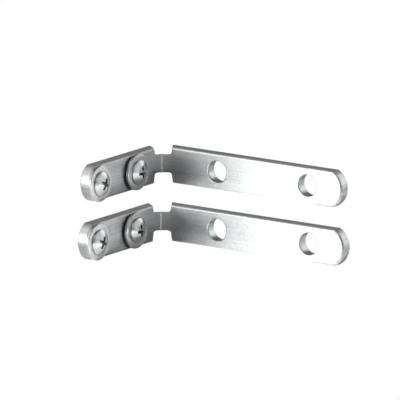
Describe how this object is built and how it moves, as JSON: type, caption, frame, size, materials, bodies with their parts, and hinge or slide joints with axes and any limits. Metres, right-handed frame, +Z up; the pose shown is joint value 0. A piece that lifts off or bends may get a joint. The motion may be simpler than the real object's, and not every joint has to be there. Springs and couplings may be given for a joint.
{
  "type": "profile corner connector",
  "caption": "Right-angle flat bar connectors with a notched bend, washer-faced clamp screws on the short leg and bolt holes in the long leg, for joining framing profiles.",
  "frame": {"origin": "on the floor, below the middle of the set's box", "axes": "+Z up, across the bars' width; +X along the long legs, away from the bends; +Y from the front connector to the rear one; the screws point along -X"},
  "size_m": [0.1575, 0.1465, 0.015],
  "materials": {
    "plated_bar": "bright zinc plate, clear passivated",
    "plated_washer": "bright zinc plate, clear passivated",
    "plated_screw": "bright zinc plate, clear passivated"
  },
  "bodies": {
    "straps": {"rear_strap": "plated_bar", "front_strap": "plated_bar"},
    "rear_inner_washer": {"rear_inner_washer": "plated_washer"},
    "rear_inner_screw": {"rear_inner_screw": "plated_screw"},
    "rear_outer_washer": {"rear_outer_washer": "plated_washer"},
    "rear_outer_screw": {"rear_outer_screw": "plated_screw"},
    "front_inner_washer": {"front_inner_washer": "plated_washer"},
    "front_inner_screw": {"front_inner_screw": "plated_screw"},
    "front_outer_washer": {"front_outer_washer": "plated_washer"},
    "front_outer_screw": {"front_outer_screw": "plated_screw"}
  },
  "joints": [
    {"name": "rear_inner_feed", "type": "slide", "parent": "straps", "child": "rear_inner_washer", "axis": [1, 0, 0], "range_m": [-0.00078, 0.0043]},
    {"name": "rear_inner_turn", "type": "hinge", "parent": "rear_inner_washer", "child": "rear_inner_screw", "pos_m": [-0.07075, 0.04925, 0.0075], "axis": [1, 0, 0], "range_deg": [-352, 1940]},
    {"name": "rear_outer_feed", "type": "slide", "parent": "straps", "child": "rear_outer_washer", "axis": [1, 0, 0], "range_m": [-0.00078, 0.0043]},
    {"name": "rear_outer_turn", "type": "hinge", "parent": "rear_outer_washer", "child": "rear_outer_screw", "pos_m": [-0.07075, 0.02275, 0.0075], "axis": [1, 0, 0], "range_deg": [-352, 1940]},
    {"name": "front_inner_feed", "type": "slide", "parent": "straps", "child": "front_inner_washer", "axis": [1, 0, 0], "range_m": [-0.00078, 0.0043]},
    {"name": "front_inner_turn", "type": "hinge", "parent": "front_inner_washer", "child": "front_inner_screw", "pos_m": [-0.00875, -0.03925, 0.0075], "axis": [1, 0, 0], "range_deg": [-352, 1940]},
    {"name": "front_outer_feed", "type": "slide", "parent": "straps", "child": "front_outer_washer", "axis": [1, 0, 0], "range_m": [-0.00078, 0.0043]},
    {"name": "front_outer_turn", "type": "hinge", "parent": "front_outer_washer", "child": "front_outer_screw", "pos_m": [-0.00875, -0.06575, 0.0075], "axis": [1, 0, 0], "range_deg": [-352, 1940]}
  ],
  "couplings": [
    {"joint": "rear_inner_turn", "follows": "rear_inner_feed", "rad_per_m": 7854},
    {"joint": "rear_outer_turn", "follows": "rear_outer_feed", "rad_per_m": 7854},
    {"joint": "front_inner_turn", "follows": "front_inner_feed", "rad_per_m": 7854},
    {"joint": "front_outer_turn", "follows": "front_outer_feed", "rad_per_m": 7854}
  ]
}
